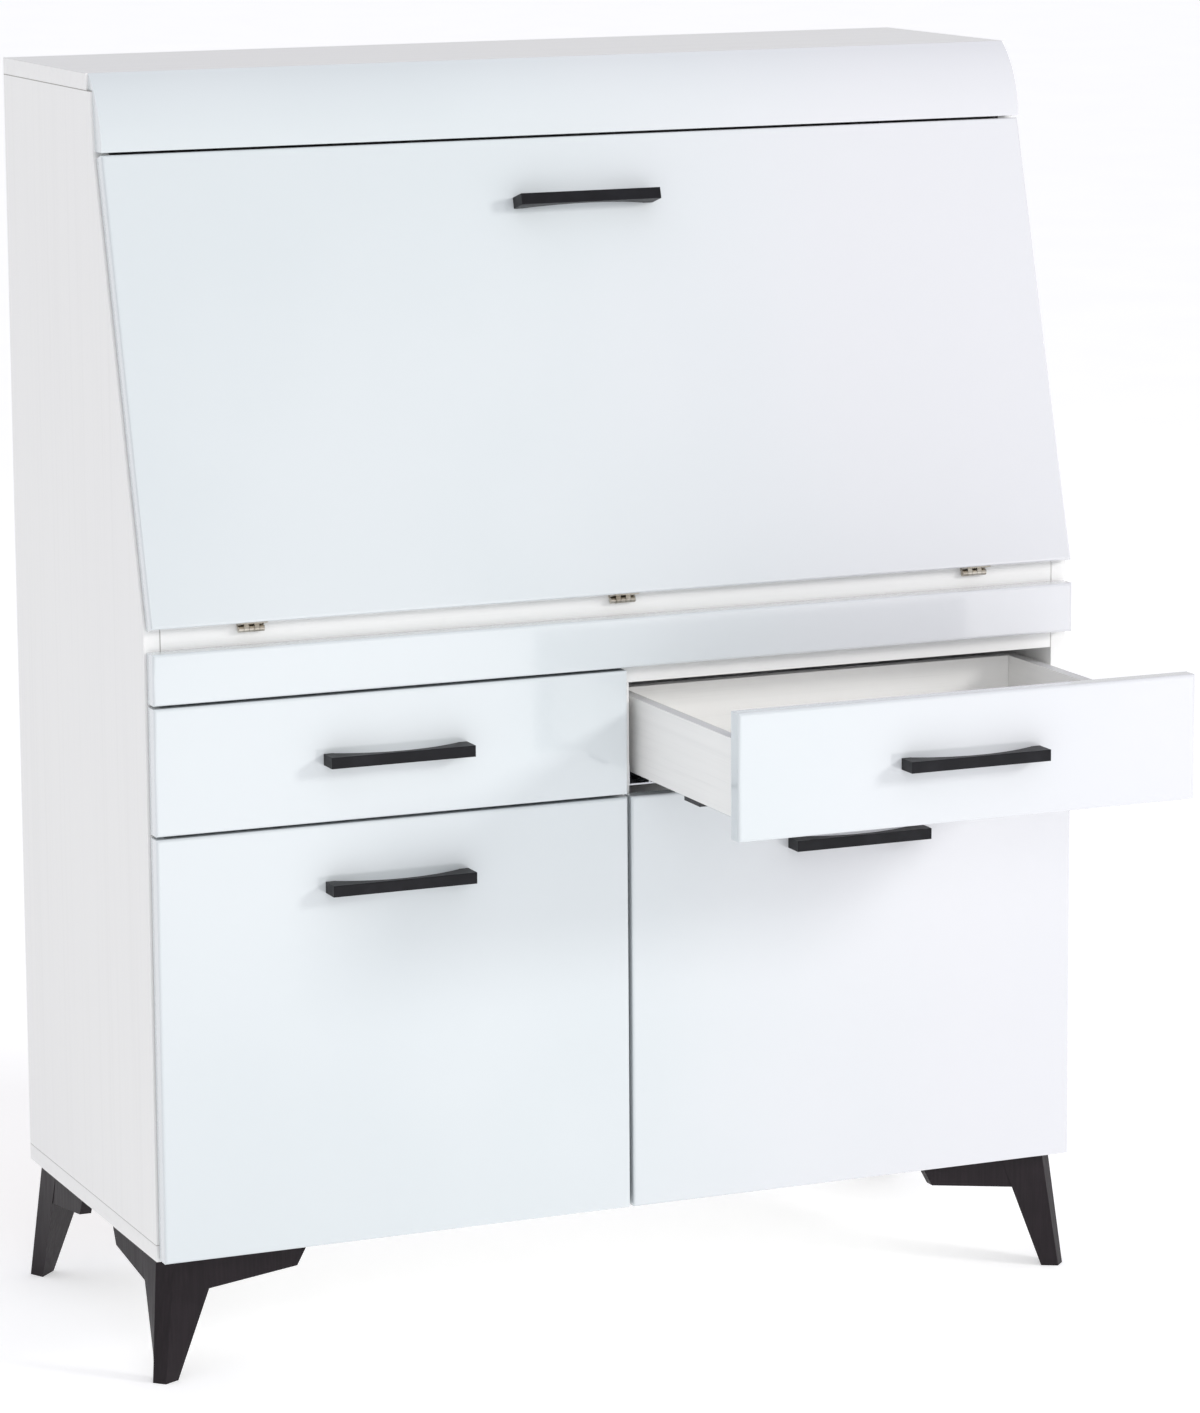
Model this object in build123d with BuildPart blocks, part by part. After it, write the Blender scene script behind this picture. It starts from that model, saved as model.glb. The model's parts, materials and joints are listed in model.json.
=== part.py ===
"""Secretary desk: drop-front writing flap over a pull-out, two drawers and two doors, on splayed feet.

X runs across the desk, Y from the front (-Y) to the back (+Y), Z up from the floor. Millimetres.
The right drawer stands drawn out; everything else is closed.
"""

from build123d import *
import math
import os

# Carcass
width = 970.0
carcass_depth = 405.0
carcass_height = 1120.0
leg_height = 120.0
board = 16.0
desk_thick = 22.0
desk_height = 610.0  # top of the writing surface above the carcass's underside
crown_height = 77.0  # how far below the top the slanted side edge ends
top_board_depth = 266.0
shoulder_set = 11.0  # side panels deeper than the top board, right under it
shoulder_run = 7.0  # and deeper again where the slant ends
back_thick = 3.0
back_inset = 10.0
groove_depth = 5.0
pullout_space = 50.0  # clear height between the dust board and the writing surface
drawer_space = 114.0  # clear height of the drawer openings
inner_shelf_height = 250.0
inner_shelf_depth = 200.0

# Fronts
front_thick = 18.0
front_gap = 1.5  # bumper gap between a front and the carcass
front_inset = 2.5
middle_reveal = 3.6
front_reveal = 2.6
front_radius = 3.0
door_bottom_gap = 2.0
strip_lift = 2.0  # pull-out strip's lower edge above the dust board
drawer_front_lift = 7.5  # drawer front's lower edge above the shelf under it
edge_radius = 1.0

# Flap
flap_thick = 16.0
flap_lap = 2.0  # how far the flap reaches below the start of the slant
flap_top_gap = 2.2
support_gap = 0.3  # opened flap above the pull-out's strip
hinge_width = 26.0
hinge_edge = 105.0  # outer hinges' middle from the carcass's side
knuckle_count = 5
knuckle_radius = 3.0
knuckle_gap = 0.4
knuckle_play = 0.37  # between the fixed knuckles and the leaf under the flap
leaf_thick = 1.0
leaf_depth = 13.0
leaf_run = 20.0
pin_radius = 1.2
pin_clearance = 0.05

# Cornice
cornice_overhang = 18.7  # lower edge in front of the side panels' shoulder
cornice_bulge = 9.0

# Handles
handle_length = 146.0
handle_height = 11.0
handle_reach = 23.0
handle_bar = 7.0
handle_rise = 15.0
handle_post = 10.0
handle_radius = 0.8
hole_spacing = 128.0
screw_radius = 2.0
screw_head_radius = 4.0
screw_head_height = 2.4
screw_depth = 9.0
screw_clearance = 0.1
hole_room = 1.0  # blind holes run past their screws
driver_room = 1.0
door_handle_drop = 60.0
flap_handle_drop = 64.0

# Drawers and pull-out
box_side = 12.0
box_gap = 6.0
box_lift = 23.0  # drawer box above the board under it
box_headroom = 16.0
box_back_room = 73.5  # closed drawer box in front of the back panel
box_bottom_thick = 3.0
box_bottom_up = 10.0
box_groove = 6.0
tray_lift = 5.0
tray_headroom = 7.0
tray_gap = 12.9
tray_back_room = 53.5

# Runners
rail_thick = 1.5
rail_setback = 3.0
rail_back_room = 39.0  # fixed rails end in front of the back panel
rail_hold = 50.0  # how much of a drawer's rails stays in when it is drawn out
rail_web_drop = 10.0
rail_wall_height = 20.0
rail_channel_start = 22.0
rail_channel_width = 16.0
rail_lip = 9.0
rail_clearance = 0.7
slide_back_room = 20.0  # drawer box runs past its moving rails
clip_length = 36.0
clip_width = 9.0
clip_setback = 98.0
clip_height = 4.0
tray_rail_height = 35.0
tray_rail_inner_height = 20.0
tray_rail_flange = 9.0
tray_rail_thick = 1.2
tray_slide_room = 5.5

# Door hinges
cup_radius = 17.5
cup_depth = 12.5
cup_edge = 22.0
cup_wall = 1.5
cup_flange = 0.8
cup_flange_length = 60.0
cup_flange_width = 20.0
cup_flange_corner = 4.0
cup_clearance = 0.05
hinge_inset = 80.0
plate_length = 55.0
plate_thick = 2.0
plate_width = 44.0
plate_setback = 22.0
arm_width = 12.0
arm_height = 13.0
arm_setback = 2.0
arm_tail = 10.0

# Feet
foot_inset = 6.0
foot_chamfer_top = 14.0
foot_leg_top = 61.0
foot_wing_thick = 12.0
foot_wing_length = 150.0
foot_wing_low = 138.0
foot_wing_end = 22.0
foot_wing_root = 34.0
foot_splay = 4.5  # how far the toe's corner stands outside the carcass
foot_toe_back = 5.2
foot_toe_long = 20.6
foot_toe_short = 3.5
foot_flange_size = 78.0
foot_flange_thick = 4.0
foot_screw_length = 14.0
foot_screw_near = 30.0
foot_screw_far = 66.0

# Depths inside the carcass
inside_depth = carcass_depth - back_inset - back_thick
shoulder_top_depth = top_board_depth + shoulder_set
shoulder_depth = shoulder_top_depth + shoulder_run
cornice_bottom_depth = shoulder_depth + cornice_overhang
rail_length = inside_depth - rail_setback - rail_back_room
box_depth = inside_depth + front_gap - box_back_room
slide_length = box_depth - slide_back_room
drawer_pull = slide_length - rail_hold
tray_depth = inside_depth + front_gap - tray_back_room
tray_slide_length = tray_depth - front_gap - rail_setback - tray_slide_room

# Frame: the desk's footprint, with its drawer drawn out, is centred on the origin
reach = carcass_depth + front_gap + front_thick + drawer_pull + handle_reach
back_y = (reach - foot_splay) / 2
front_y = back_y - carcass_depth
fronts_back = front_y - front_gap
fronts_face = fronts_back - front_thick
under = leg_height
half = width / 2
inner_half = half - board
back_face = back_y - back_inset - back_thick

# Heights
slope_top = carcass_height - crown_height
top_z = under + carcass_height
desk_top = under + desk_height
desk_under = desk_top - desk_thick
dust_top = desk_under - pullout_space
dust_under = dust_top - board
shelf_top = dust_under - drawer_space
shelf_under = shelf_top - board
floor_top = under + board

# Flap geometry
tilt = math.atan2(carcass_depth - shoulder_depth, slope_top - desk_height)
outward = (-math.cos(tilt), math.sin(tilt))
upward = (math.sin(tilt), math.cos(tilt))
slant_length = math.hypot(carcass_depth - shoulder_depth, slope_top - desk_height)
flap_plane = Plane(origin=(0, front_y, desk_top), x_dir=(1, 0, 0), z_dir=(0, *outward))
flap_length = slant_length + flap_lap - flap_top_gap
pivot_y = front_y - leaf_thick - knuckle_radius
pivot_up = -(flap_lap + leaf_thick + knuckle_play + knuckle_radius)
pivot_z = desk_top + (pivot_up - (pivot_y - front_y) * upward[0]) / upward[1]
pivot_out = (pivot_y - front_y) * outward[0] + (pivot_z - desk_top) * outward[1]
flap_open_underside = pivot_z + pivot_out - front_gap - flap_thick

# Front heights, from the pull-out's strip down to the doors
strip_top = flap_open_underside - support_gap
strip_under = dust_top + strip_lift
drawer_front_top = strip_under - front_reveal
drawer_front_under = shelf_top + drawer_front_lift
door_top = drawer_front_under - front_reveal
door_under = under + door_bottom_gap
cornice_under = under + slope_top + flap_top_gap + flap_thick * math.sin(tilt) / 2

os.makedirs("parts", exist_ok=True)


def finish(piece, label):
    """Names a finished piece and writes it."""
    piece.part.label = label
    export_step(piece.part, f"parts/{label}.step")


def slab(x0, x1, y0, y1, z0, z1, mode=Mode.ADD):
    """A straight board between two corners."""
    with BuildSketch(Plane.XY.offset(z0)) as outline:
        with Locations(((x0 + x1) / 2, (y0 + y1) / 2)):
            Rectangle(x1 - x0, y1 - y0)
    extrude(outline.sketch, amount=z1 - z0, mode=mode)


def bored(x, z, y0, y1, radius, mode=Mode.SUBTRACT):
    """A round hole, or a round bar, along Y from y0 back to y1."""
    with BuildSketch(Plane.XZ.offset(-y1)) as section:
        with Locations((x, z)):
            Circle(radius)
    extrude(section.sketch, amount=y1 - y0, mode=mode)


def profile(plane, points, amount, mode=Mode.ADD):
    """A closed straight-sided profile pushed out along its plane's normal."""
    with BuildSketch(plane) as section:
        with BuildLine():
            Polyline(*points, close=True)
        make_face()
    extrude(section.sketch, amount=amount, mode=mode)


# Carcass boards ---------------------------------------------------------------------------------
side_outline = [
    (back_y, floor_top),
    (back_y, top_z - board),
    (back_y - shoulder_top_depth, top_z - board),
    (back_y - shoulder_depth, under + slope_top),
    (front_y, desk_top),
    (front_y, floor_top),
]
groove_low = under + board - groove_depth
groove_high = top_z - board + groove_depth

for label, x0, groove_x in (
    ("side_panel_left", -half, -inner_half - groove_depth),
    ("side_panel_right", inner_half, inner_half),
):
    with BuildPart() as side_panel:
        profile(Plane.YZ.offset(x0), side_outline, board)
        slab(
            groove_x,
            groove_x + groove_depth,
            back_face,
            back_face + back_thick,
            floor_top,
            top_z - board,
            Mode.SUBTRACT,
        )
    finish(side_panel, label)

with BuildPart() as top_board:
    slab(-half, half, back_y - top_board_depth, back_y, top_z - board, top_z)
    groove_half = inner_half + groove_depth
    slab(
        -groove_half,
        groove_half,
        back_face,
        back_face + back_thick,
        top_z - board,
        groove_high,
        Mode.SUBTRACT,
    )
finish(top_board, "top_board")

# Feet places: each foot's screws, as offsets from the carcass corner
foot_screws_at = [
    (foot_screw_near, foot_screw_near),
    (foot_screw_near, foot_screw_far),
    (foot_screw_far, foot_screw_near),
]
foot_corners = [
    ("foot_front_left", -1, -1),
    ("foot_front_right", 1, -1),
    ("foot_back_left", -1, 1),
    ("foot_back_right", 1, 1),
]
carcass_mid = (front_y + back_y) / 2


def foot_points():
    """Plan positions of every foot screw."""
    for _, sx, sy in foot_corners:
        for dx, dy in foot_screws_at:
            yield sx * (half - dx), carcass_mid + sy * (carcass_depth / 2 - dy)


with BuildPart() as bottom_board:
    slab(-half, half, front_y, back_y, under, floor_top)
    slab(
        -groove_half,
        groove_half,
        back_face,
        back_face + back_thick,
        groove_low,
        floor_top,
        Mode.SUBTRACT,
    )
    pilot_depth = foot_screw_length - foot_flange_thick + hole_room
    with BuildSketch(Plane.XY.offset(under)) as pilots:
        with Locations(*foot_points()):
            Circle(screw_radius + screw_clearance)
    extrude(pilots.sketch, amount=pilot_depth, mode=Mode.SUBTRACT)
finish(bottom_board, "bottom_board")

with BuildPart() as back_panel:
    slab(-groove_half, groove_half, back_face, back_face + back_thick, groove_low, groove_high)
finish(back_panel, "back_panel")

with BuildPart() as partition:
    slab(-board / 2, board / 2, front_y, back_face, floor_top, dust_under)
finish(partition, "partition")

for label, x0, x1 in (
    ("shelf_left", -inner_half, -board / 2),
    ("shelf_right", board / 2, inner_half),
):
    with BuildPart() as shelf:
        slab(x0, x1, front_y, back_face, shelf_under, shelf_top)
    finish(shelf, label)

with BuildPart() as dust_board:
    slab(-inner_half, inner_half, front_y, back_face, dust_under, dust_top)
finish(dust_board, "dust_board")

hinge_places = [hinge_edge - half, 0.0, half - hinge_edge]

with BuildPart() as desk_floor:
    slab(-inner_half, inner_half, front_y, back_face, desk_under, desk_top)
    for x in hinge_places:
        slab(
            x - hinge_width / 2,
            x + hinge_width / 2,
            front_y,
            front_y + leaf_run,
            desk_top - leaf_thick,
            desk_top,
            Mode.SUBTRACT,
        )
finish(desk_floor, "desk_floor")

with BuildPart() as inner_shelf:
    shelf_z = desk_top + inner_shelf_height
    slab(-inner_half, inner_half, back_face - inner_shelf_depth, back_face, shelf_z, shelf_z + board)
finish(inner_shelf, "inner_shelf")

# Cornice: a moulding with a bowed face, sitting on the side panels' shoulders
with BuildPart() as cornice:
    top_front = back_y - top_board_depth
    low_front = back_y - cornice_bottom_depth
    shoulder_lean = (shoulder_depth - shoulder_top_depth) / (top_z - board - under - slope_top)
    shoulder_top_y = back_y - shoulder_top_depth
    shoulder_low_y = shoulder_top_y - shoulder_lean * (top_z - board - cornice_under)
    bow_y = (top_front + low_front) / 2
    bow_z = (top_z + cornice_under) / 2
    chord = math.hypot(top_front - low_front, top_z - cornice_under)
    bow = (
        bow_y - cornice_bulge * (top_z - cornice_under) / chord,
        bow_z + cornice_bulge * (top_front - low_front) / chord,
    )
    with BuildSketch(Plane.YZ.offset(-half + front_inset)) as cornice_section:
        with BuildLine():
            ThreePointArc((low_front, cornice_under), bow, (top_front, top_z))
            Polyline(
                (top_front, top_z),
                (top_front, top_z - board),
                (shoulder_top_y, top_z - board),
                (shoulder_low_y, cornice_under),
                (low_front, cornice_under),
            )
        make_face()
    extrude(cornice_section.sketch, amount=width - 2 * front_inset)
    lower_edge = cornice.edges().filter_by(Axis.X).group_by(Axis.Z)[0].sort_by(Axis.Y)[0]
    fillet(lower_edge, radius=edge_radius)
finish(cornice, "cornice")


# Feet -------------------------------------------------------------------------------------------
def foot_wing(plane, amount):
    """One wing of the foot: it hangs under the carcass's edge and narrows away from the leg."""
    leg_edge = foot_inset + foot_leg_top
    root_edge = leg_edge - (leg_edge - foot_toe_long) * foot_wing_root / leg_height
    outline = [
        (foot_inset + foot_chamfer_top, under),
        (foot_inset + foot_wing_length, under),
        (foot_inset + foot_wing_low, under - foot_wing_end),
        (root_edge, under - foot_wing_root),
        (foot_inset + foot_chamfer_top, under - foot_wing_root),
    ]
    profile(plane, outline, amount)


def foot_leg():
    """The tapering leg: a chamfered corner above, a narrow kite-shaped toe on the floor."""
    near = foot_inset + foot_chamfer_top
    far = foot_inset + foot_leg_top
    with BuildSketch(Plane.XY.offset(under)) as leg_top:
        with BuildLine():
            Polyline((foot_inset, near), (near, foot_inset), (far, foot_inset), (foot_inset, far), close=True)
        make_face()
    with BuildSketch(Plane.XY) as toe:
        with BuildLine():
            Polyline(
                (-foot_splay, foot_toe_back),
                (foot_toe_back, -foot_splay),
                (foot_toe_long, foot_toe_short),
                (foot_toe_short, foot_toe_long),
                close=True,
            )
        make_face()
    loft([leg_top.sketch.face(), toe.sketch.face()], ruled=True)


with BuildPart() as foot_shape:
    foot_leg()
    foot_wing(Plane(origin=(0, foot_inset, 0), x_dir=(1, 0, 0), z_dir=(0, -1, 0)), -foot_wing_thick)
    foot_wing(Plane(origin=(foot_inset, 0, 0), x_dir=(0, 1, 0), z_dir=(1, 0, 0)), foot_wing_thick)
    inner = foot_inset + foot_wing_thick
    flange = [(inner, inner), (foot_flange_size, inner), (inner, foot_flange_size)]
    profile(Plane.XY.offset(under - foot_flange_thick), flange, foot_flange_thick)
    with BuildSketch(Plane.XY) as screw_ways:
        with Locations(*foot_screws_at):
            Circle(screw_head_radius + driver_room)
    extrude(screw_ways.sketch, amount=under - foot_flange_thick, mode=Mode.SUBTRACT)
    with BuildSketch(Plane.XY.offset(under - foot_flange_thick)) as screw_holes:
        with Locations(*foot_screws_at):
            Circle(screw_radius + screw_clearance)
    extrude(screw_holes.sketch, amount=foot_flange_thick, mode=Mode.SUBTRACT)

for label, sx, sy in foot_corners:
    with BuildPart() as foot:
        placed = foot_shape.part.moved(Location((-half, carcass_mid - carcass_depth / 2, 0)))
        if sx > 0:
            placed = placed.mirror(Plane.YZ)
        if sy > 0:
            placed = placed.mirror(Plane.XZ.offset(-carcass_mid))
        add(placed)
    finish(foot, label)

with BuildPart() as foot_screws:
    with BuildSketch(Plane.XY.offset(under - foot_flange_thick)) as shanks:
        with Locations(*foot_points()):
            Circle(screw_radius)
    extrude(shanks.sketch, amount=foot_screw_length)
    with BuildSketch(Plane.XY.offset(under - foot_flange_thick)) as heads:
        with Locations(*foot_points()):
            Circle(screw_head_radius)
    extrude(heads.sketch, amount=-screw_head_height)
finish(foot_screws, "foot_screws")


# Handles and their screws -----------------------------------------------------------------------
def handle_plane(x, y, z):
    """Where a handle sits on an upright front: X along the bar, normal towards the user."""
    return Plane(origin=(x, y, z), x_dir=(1, 0, 0), z_dir=(0, -1, 0))


def handle_bow(place):
    """A flat-faced bar whose inner side is scooped out between its two posts."""
    end = handle_length / 2
    post = end - handle_post
    inner_face = handle_reach - handle_bar
    section_plane = Plane(origin=place.origin, x_dir=place.x_dir, z_dir=-place.y_dir)
    with BuildSketch(section_plane) as section:
        with BuildLine():
            Polyline(
                (-post, inner_face - handle_rise),
                (-post, 0),
                (-end, 0),
                (-end, handle_reach),
                (end, handle_reach),
                (end, 0),
                (post, 0),
                (post, inner_face - handle_rise),
            )
            ThreePointArc(
                (post, inner_face - handle_rise), (0, inner_face), (-post, inner_face - handle_rise)
            )
        make_face()
    extrude(section.sketch, amount=handle_height / 2, both=True)


def screw_rods(place, start, amount, radius, mode=Mode.ADD):
    """The pair of handle screws, or their holes, along the handle's normal."""
    with BuildSketch(place.offset(start)) as rods:
        with GridLocations(hole_spacing, 1, 2, 1):
            Circle(radius)
    extrude(rods.sketch, amount=amount, mode=mode)


def make_handle(label, place):
    """A handle with blind holes for its two screws."""
    with BuildPart() as handle:
        handle_bow(place)
        screw_rods(place, 0, screw_depth + hole_room, screw_radius + screw_clearance, Mode.SUBTRACT)
        front = handle.faces().filter_by(GeomType.PLANE).sort_by(Axis(place.origin, place.z_dir))[-1]
        fillet(front.edges(), radius=handle_radius)
    finish(handle, f"{label}_handle")


def make_handle_screws(label, place, panel_thick):
    """Two pan-head screws that come through the front from behind."""
    with BuildPart() as screws:
        screw_rods(place, -panel_thick, panel_thick + screw_depth, screw_radius)
        screw_rods(place, -panel_thick, -screw_head_height, screw_head_radius)
    finish(screws, f"{label}_handle_screws")


def front_panel(x0, x1, z0, z1, face, place):
    """A front with softly rounded face edges and, where it has a handle, two screw holes."""
    slab(x0, x1, face, face + front_thick, z0, z1)
    if place:
        screw_rods(place, -front_thick, front_thick, screw_radius + screw_clearance, Mode.SUBTRACT)


def round_front(panel):
    """Rounds the outline of a front's face."""
    face = panel.faces().filter_by(Axis.Y).sort_by(Axis.Y)[0]
    fillet(face.outer_wire().edges(), radius=front_radius)


# Flap -------------------------------------------------------------------------------------------
flap_place = Plane(
    origin=flap_plane.offset(front_gap + flap_thick).from_local_coords(
        (0, flap_length - flap_lap - flap_handle_drop, 0)
    ),
    x_dir=(1, 0, 0),
    z_dir=flap_plane.z_dir,
)
with BuildPart() as flap_panel:
    with BuildSketch(flap_plane.offset(front_gap)) as flap_outline:
        with Locations((0, flap_length / 2 - flap_lap)):
            Rectangle(width - 2 * front_inset, flap_length)
    extrude(flap_outline.sketch, amount=flap_thick)
    screw_rods(flap_place, -flap_thick, flap_thick, screw_radius + screw_clearance, Mode.SUBTRACT)
    flap_axis = Axis(flap_plane.origin, flap_plane.z_dir)
    flap_face = flap_panel.faces().filter_by(GeomType.PLANE).sort_by(flap_axis)[-1]
    fillet(flap_face.outer_wire().edges(), radius=front_radius)
finish(flap_panel, "flap_panel")
make_handle("flap", flap_place)
make_handle_screws("flap", flap_place, flap_thick)

# Flap hinges: five knuckles on one pin; the outer and middle ones belong to the desk
knuckle_pitch = hinge_width / knuckle_count
knuckle_length = knuckle_pitch - knuckle_gap


def knuckle_start(x, turn):
    """Where one knuckle of the hinge at x begins."""
    return x - hinge_width / 2 + turn * knuckle_pitch + knuckle_gap / 2


def knuckles(x, turns, bore):
    """Knuckles of one leaf, by their places along the pin."""
    for turn in turns:
        start = knuckle_start(x, turn)
        with BuildSketch(Plane.YZ.offset(start)) as ring:
            with Locations((pivot_y, pivot_z)):
                Circle(knuckle_radius)
                Circle(bore, mode=Mode.SUBTRACT)
        extrude(ring.sketch, amount=knuckle_length)


fixed_turns = range(0, knuckle_count, 2)
moving_turns = range(1, knuckle_count, 2)
leaf_tip_z = pivot_z + knuckle_radius

with BuildPart() as fixed_leaves:
    for x in hinge_places:
        knuckles(x, fixed_turns, pin_radius)
        slab(
            x - hinge_width / 2,
            x + hinge_width / 2,
            front_y - leaf_thick,
            front_y + leaf_run,
            desk_top - leaf_thick,
            desk_top,
        )
        slab(
            x - hinge_width / 2,
            x + hinge_width / 2,
            front_y - leaf_thick,
            front_y,
            leaf_tip_z - leaf_thick,
            desk_top - leaf_thick,
        )
        for turn in fixed_turns:
            start = knuckle_start(x, turn)
            slab(start, start + knuckle_length, pivot_y, front_y, leaf_tip_z - leaf_thick, leaf_tip_z)
finish(fixed_leaves, "flap_hinge_fixed_leaves")

with BuildPart() as moving_leaves:
    for x in hinge_places:
        knuckles(x, moving_turns, pin_radius + pin_clearance)
        leaf_plane = Plane(
            origin=flap_plane.from_local_coords((x, -flap_lap, pivot_out)),
            x_dir=(1, 0, 0),
            z_dir=flap_plane.z_dir,
        )
        with BuildSketch(leaf_plane) as leaf:
            with Locations((0, -leaf_thick / 2)):
                Rectangle(hinge_width, leaf_thick)
        extrude(leaf.sketch, amount=leaf_depth)
        drop = -flap_lap - leaf_thick - pivot_up
        for turn in moving_turns:
            along = knuckle_start(0, turn) + knuckle_length / 2
            with BuildSketch(leaf_plane.offset(knuckle_radius - leaf_thick)) as web:
                with Locations((along, -leaf_thick - drop / 2)):
                    Rectangle(knuckle_length, drop)
            extrude(web.sketch, amount=leaf_thick)
finish(moving_leaves, "flap_hinge_moving_leaves")

with BuildPart() as flap_pins:
    for x in hinge_places:
        with BuildSketch(Plane.YZ.offset(x - hinge_width / 2)) as pin:
            with Locations((pivot_y, pivot_z)):
                Circle(pin_radius)
        extrude(pin.sketch, amount=hinge_width)
finish(flap_pins, "flap_hinge_pins")


# Pull-out that carries the opened flap ----------------------------------------------------------
tray_half = inner_half - tray_gap
tray_under = dust_top + tray_lift
tray_top = desk_under - tray_headroom
tray_back = fronts_back + tray_depth
tray_panel_z = tray_under + box_groove
tray_inner = tray_half - box_side

with BuildPart() as tray_front:
    front_panel(-half + front_inset, half - front_inset, strip_under, strip_top, fronts_face, None)
    slab(
        -tray_inner - box_groove,
        tray_inner + box_groove,
        fronts_back - box_groove,
        fronts_back,
        tray_panel_z,
        tray_panel_z + box_bottom_thick,
        Mode.SUBTRACT,
    )
    round_front(tray_front)
finish(tray_front, "tray_front")

for label, x0, groove_x in (
    ("tray_side_left", -tray_half, -tray_inner - box_groove),
    ("tray_side_right", tray_inner, tray_inner),
):
    with BuildPart() as tray_side:
        slab(x0, x0 + box_side, fronts_back, tray_back, tray_under, tray_top)
        slab(
            groove_x,
            groove_x + box_groove,
            fronts_back,
            tray_back,
            tray_panel_z,
            tray_panel_z + box_bottom_thick,
            Mode.SUBTRACT,
        )
    finish(tray_side, label)

with BuildPart() as tray_back_board:
    slab(
        -tray_inner,
        tray_inner,
        tray_back - box_side,
        tray_back,
        tray_panel_z + box_bottom_thick,
        tray_top,
    )
finish(tray_back_board, "tray_back")

with BuildPart() as tray_bottom:
    slab(
        -tray_inner - box_groove,
        tray_inner + box_groove,
        fronts_back - box_groove,
        tray_back,
        tray_panel_z,
        tray_panel_z + box_bottom_thick,
    )
finish(tray_bottom, "tray_bottom")

tray_rail_mid = (tray_under + tray_top) / 2


def side_channel(wall, inward, web, reach_in, height, y0, length):
    """A C-shaped rail: its web at one side, both flanges reaching towards the other."""
    low = tray_rail_mid - height / 2
    high = tray_rail_mid + height / 2
    start = wall + inward * web
    tip = start + inward * reach_in
    inside = start + math.copysign(tray_rail_thick, tip - start)
    outline = [
        (start, low),
        (tip, low),
        (tip, low + tray_rail_thick),
        (inside, low + tray_rail_thick),
        (inside, high - tray_rail_thick),
        (tip, high - tray_rail_thick),
        (tip, high),
        (start, high),
    ]
    profile(Plane.XZ.offset(-y0), outline, -length)


with BuildPart() as tray_rails_fixed:
    for wall, inward in ((-inner_half, 1), (inner_half, -1)):
        rail_y = front_y + rail_setback
        side_channel(wall, inward, 0, tray_rail_flange, tray_rail_height, rail_y, rail_length)
finish(tray_rails_fixed, "tray_rails_fixed")

with BuildPart() as tray_rails_moving:
    for wall, inward in ((-inner_half, 1), (inner_half, -1)):
        rail_y = front_y + rail_setback
        side_channel(
            wall,
            inward,
            tray_gap,
            -tray_rail_flange,
            tray_rail_inner_height,
            rail_y,
            tray_slide_length,
        )
finish(tray_rails_moving, "tray_rails_moving")


# Drawers ----------------------------------------------------------------------------------------
box_under = shelf_top + box_lift
box_top = dust_under - box_headroom
panel_z = box_under + box_bottom_up
web_top = box_under - rail_web_drop


def rail_fixed(wall, inward):
    """Runner half on the carcass: wall flange, web under the box and a channel open upwards."""
    start = rail_channel_start
    end = start + rail_channel_width
    low = web_top - rail_thick
    steps = [
        (0, low),
        (end, low),
        (end, web_top + rail_lip),
        (end - rail_thick, web_top + rail_lip),
        (end - rail_thick, web_top),
        (start + rail_thick, web_top),
        (start + rail_thick, web_top + rail_lip),
        (start, web_top + rail_lip),
        (start, web_top),
        (rail_thick, web_top),
        (rail_thick, web_top + rail_wall_height),
        (0, web_top + rail_wall_height),
    ]
    outline = [(wall + inward * x, z) for x, z in steps]
    profile(Plane.XZ.offset(-(front_y + rail_setback)), outline, -rail_length)


def rail_moving(wall, inward, y0):
    """Runner half under the drawer: an upside-down channel that rides between the lips."""
    play = rail_thick + rail_clearance
    start = rail_channel_start + play
    end = rail_channel_start + rail_channel_width - play
    low = web_top + rail_clearance
    steps = [
        (start, low),
        (start + rail_thick, low),
        (start + rail_thick, panel_z - rail_thick),
        (end - rail_thick, panel_z - rail_thick),
        (end - rail_thick, low),
        (end, low),
        (end, panel_z),
        (start, panel_z),
    ]
    outline = [(wall + inward * x, z) for x, z in steps]
    profile(Plane.XZ.offset(-y0), outline, -slide_length)


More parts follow.
